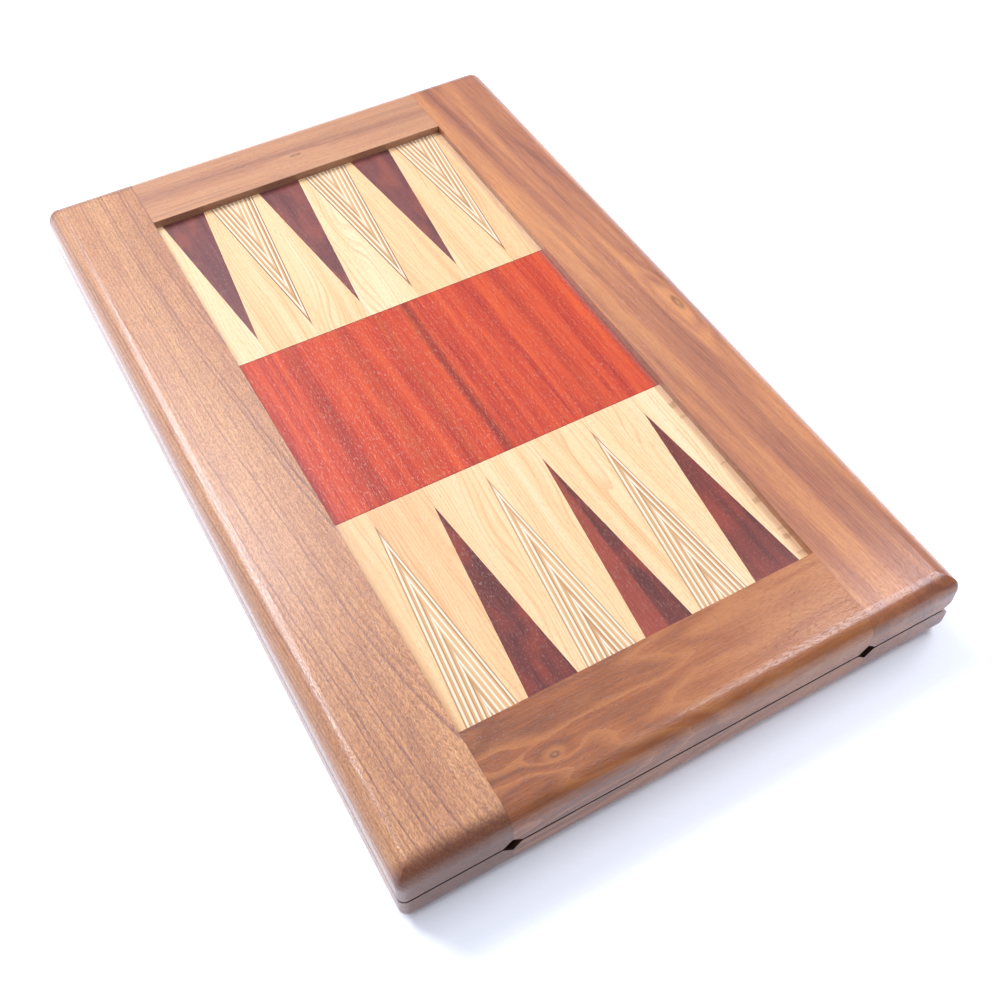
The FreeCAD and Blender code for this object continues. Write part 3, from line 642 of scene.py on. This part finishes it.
for index, half in enumerate(HALVES):
    low_side = half == "lower"
    shift = 31.0 * index
    for number, (side, look) in enumerate(RAILS.items()):
        material = walnut(f"{half}_{side}_walnut", low_side=low_side, seed=number + shift, **look)
        wear(f"{half}_{side}_rail", material)
    wear(f"{half}_centre_board", padauk(half + "_padauk", half, 5 + shift, RED_BANDS))
    for end, tints in (("far", FAR_TINTS), ("near", NEAR_TINTS)):
        wear(f"{half}_{end}_field", pale_wood(f"{half}_{end}_pale_wood", low_side, 7 + shift, tints))
    wear(f"{half}_edge_strip", filler_wood(half + "_filler_wood", low_side, 9 + shift))
    points = sorted(name for name in nodes if name.startswith(half) and "_point_" in name)
    for number, name in enumerate(points):
        far_end = "_far_" in name
        seed = 11 + number + shift
        if "striped" in name:
            outline = 0.75 if far_end else 0.38
            material = striped_wood(name + "_wood", name, far_end, low_side, seed, outline)
        else:
            tones, flecks = (PURPLE, 0.12) if far_end else (MAROON, 0.20)
            red_side = REDDENED.get(name.split("_", 1)[1], 0.0)
            material = dark_wood(name + "_wood", name, low_side, seed, tones, flecks, red_side)
        wear(name, material)
    wear(f"{half}_panel_core", plywood(half + "_plywood", shift))
    wear(f"{half}_panel_backing", plain_wood(half + "_backing", "x", low_side, 3 + shift, *BACKING_TONES))
    wear(f"{half}_divider_bars", plain_wood(half + "_divider_walnut", "x", low_side, 4 + shift, *BAR_TONES))
    for number in (1, 2, 3):
        wear(f"{half}_hinge_leaf_{number}", brass(f"{half}_leaf_brass_{number}"))
    wear(f"{half}_hinge_screws", brass(half + "_screw_brass", brushed=False))
    wear(f"{half}_magnets", bright_metal(half + "_magnet_nickel", *NICKEL_TONES, 0.22))
wear("hinge_pins", bright_metal("pin_steel", *STEEL_TONES, 0.3))


# ---- Felt in the bays --------------------------------------------------------------------------------

FELT_CELL = 0.004
FELT_ROUND = 0.0016  # how far in from its edge the felt rounds over
NAP = 0.0002  # how much the felt's thickness varies
HILLS = 90  # hills of the nap in a metre


def ticks(low, high):
    """Where the felt's grid lines lie between two edges: closer where it rounds over, at the edges."""
    inner = (0.0003, 0.0008, FELT_ROUND)
    count = round((high - low) / FELT_CELL)
    middle = [low + (high - low) * k / count for k in range(1, count)]
    start = [low, *(low + step for step in inner)]
    return [*start, *middle, *(high - step for step in reversed(inner)), high]


def felt_sheet(half, bay):
    """One cut piece of felt, glued flat in its bay, with a soft edge and a slightly uneven nap."""
    (low_x, low_y, _), (high_x, high_y, _) = bay["box_m"]
    base, top = sorted((corner.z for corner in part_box(half + "_lining")), reverse=half == "upper")
    seed = len(bay["name"]) + top * 900
    rows, columns = ticks(low_y, high_y), ticks(low_x, high_x)
    mesh = bmesh.new()
    layers = []
    for face in (0.0, 1.0):
        grid = []
        for y in rows:
            line = []
            for x in columns:
                edge = min(x - low_x, high_x - x, y - low_y, high_y - y)
                round_over = min(edge / FELT_ROUND, 1.0)
                crown = 0.45 + 0.55 * math.sqrt(1.0 - (1.0 - round_over) ** 2)
                nap = noise.noise(Vector((x * HILLS, y * HILLS, seed))) * NAP
                thick = (abs(top - base) + abs(nap) - NAP) * crown * face
                line.append(mesh.verts.new((x, y, base + math.copysign(thick, top - base))))
            grid.append(line)
        layers.append(grid)
    for grid in layers:
        for j in range(len(rows) - 1):
            for k in range(len(columns) - 1):
                mesh.faces.new((grid[j][k], grid[j][k + 1], grid[j + 1][k + 1], grid[j + 1][k]))
    glued, showing = layers
    outline = [(0, k) for k in range(len(columns) - 1)]
    outline += [(j, len(columns) - 1) for j in range(len(rows) - 1)]
    outline += [(len(rows) - 1, k) for k in range(len(columns) - 1, 0, -1)]
    outline += [(j, 0) for j in range(len(rows) - 1, 0, -1)]
    for (j, k), (next_j, next_k) in zip(outline, outline[1:] + outline[:1]):
        mesh.faces.new((glued[j][k], glued[next_j][next_k], showing[next_j][next_k], showing[j][k]))
    bmesh.ops.recalc_face_normals(mesh, faces=mesh.faces)
    data = bpy.data.meshes.new(bay["name"] + "_felt")
    mesh.to_mesh(data)
    mesh.free()
    data.polygons.foreach_set("use_smooth", [True] * len(data.polygons))
    data.materials.append(felt(bay["name"] + "_felt"))
    piece = bpy.data.objects.new(bay["name"] + "_felt", data)
    bpy.context.scene.collection.objects.link(piece)
    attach(piece, half + "_half")
    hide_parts(half + "_lining")


for bay in frame["record"]["physics"]["openings"]:
    if bay["name"].endswith("_bay"):
        felt_sheet(bay["name"].split("_")[0], bay)


# ---- Camera, light and floor -------------------------------------------------------------------------

CAMERA_PLACE = Vector((-0.2536, -0.5307, 0.6737))
CAMERA_TURN = Euler([math.radians(angle) for angle in (37.5838, 0.1375, -29.4802)])
camera_data = bpy.data.cameras.new("camera")
camera_data.lens = 44.62
camera_data.sensor_width = 36.0
camera_data.shift_x = -0.0037
camera_data.shift_y = 0.0005
camera = bpy.data.objects.new("camera", camera_data)
camera.matrix_world = Matrix.Translation(CAMERA_PLACE) @ CAMERA_TURN.to_matrix().to_4x4()
bpy.context.scene.collection.objects.link(camera)
bpy.context.scene.camera = camera


CASE_MIDDLE = Vector((0.0, 0.0, 0.03))


def softbox(name, place, width, depth, radiance, colour):
    """A rectangular light that faces the case; radiance is how bright its face is."""
    data = bpy.data.lights.new(name, "AREA")
    data.shape = "RECTANGLE"
    data.size = width
    data.size_y = depth
    data.energy = radiance * math.pi * width * depth
    data.color = colour
    light = bpy.data.objects.new(name, data)
    direction = CASE_MIDDLE - Vector(place)
    turn = direction.to_track_quat("-Z", "Y").to_matrix().to_4x4()
    light.matrix_world = Matrix.Translation(place) @ turn
    bpy.context.scene.collection.objects.link(light)


softbox("far_softbox", (-0.62, 1.28, 1.72), 1.3, 1.0, 17.0, (0.85, 0.90, 1.0))
softbox("overhead_softbox", (0.98, -0.27, 1.50), 1.15, 0.60, 9.5, (0.83, 0.89, 1.0))
softbox("near_fill", (-1.1, -0.9, 1.1), 1.0, 1.0, 1.0, (0.86, 0.90, 1.0))


class Studio(Surface):
    """The room round the case: dim low down, pale overhead, with a lit backdrop on the far side."""

    def __init__(self):
        world = bpy.data.worlds.new("studio")
        world.use_nodes = True
        self.tree = world.node_tree
        self.tree.nodes.clear()
        self.shader = self.add("ShaderNodeBackground")
        output = self.add("ShaderNodeOutputWorld")
        self.tree.links.new(self.shader.outputs[0], output.inputs["Surface"])
        split = self.add("ShaderNodeSeparateXYZ")
        self.tree.links.new(self.add("ShaderNodeTexCoord").outputs["Generated"], split.inputs[0])
        self.x, self.y, self.z = (Field(self, axis) for axis in split.outputs)
        overhead = self.z.rise(0.45, 0.85, 0.20, 0.80)
        backdrop = self.y.rise(0.1, 0.5) * self.z.rise(0.12, 0.42, 1.3, 0.0)
        self.shader.inputs["Color"].default_value = (0.82, 0.87, 1.0, 1.0)
        self.feed(self.shader.inputs["Strength"], overhead + backdrop)
        bpy.context.scene.world = world


Studio()
bpy.context.scene.view_settings.view_transform = "Standard"

floor_reach = 6.0
floor_mesh = bpy.data.meshes.new("floor")
corners = [(x * floor_reach, y * floor_reach, 0.0) for x, y in ((-1, -1), (1, -1), (1, 1), (-1, 1))]
floor_mesh.from_pydata(corners, [], [(0, 1, 2, 3)])
floor = bpy.data.objects.new("floor", floor_mesh)
bpy.context.scene.collection.objects.link(floor)
paper = Surface("floor_paper")
speck = paper.noise(paper.x / 3, paper.y / 3, 0.0, 3.0)
paper.colour(paper.ramp(speck, (0.0, srgb(247, 247, 250)), (1.0, srgb(252, 252, 254))))
paper.constants(Roughness=0.8)
floor_mesh.materials.append(paper.material)
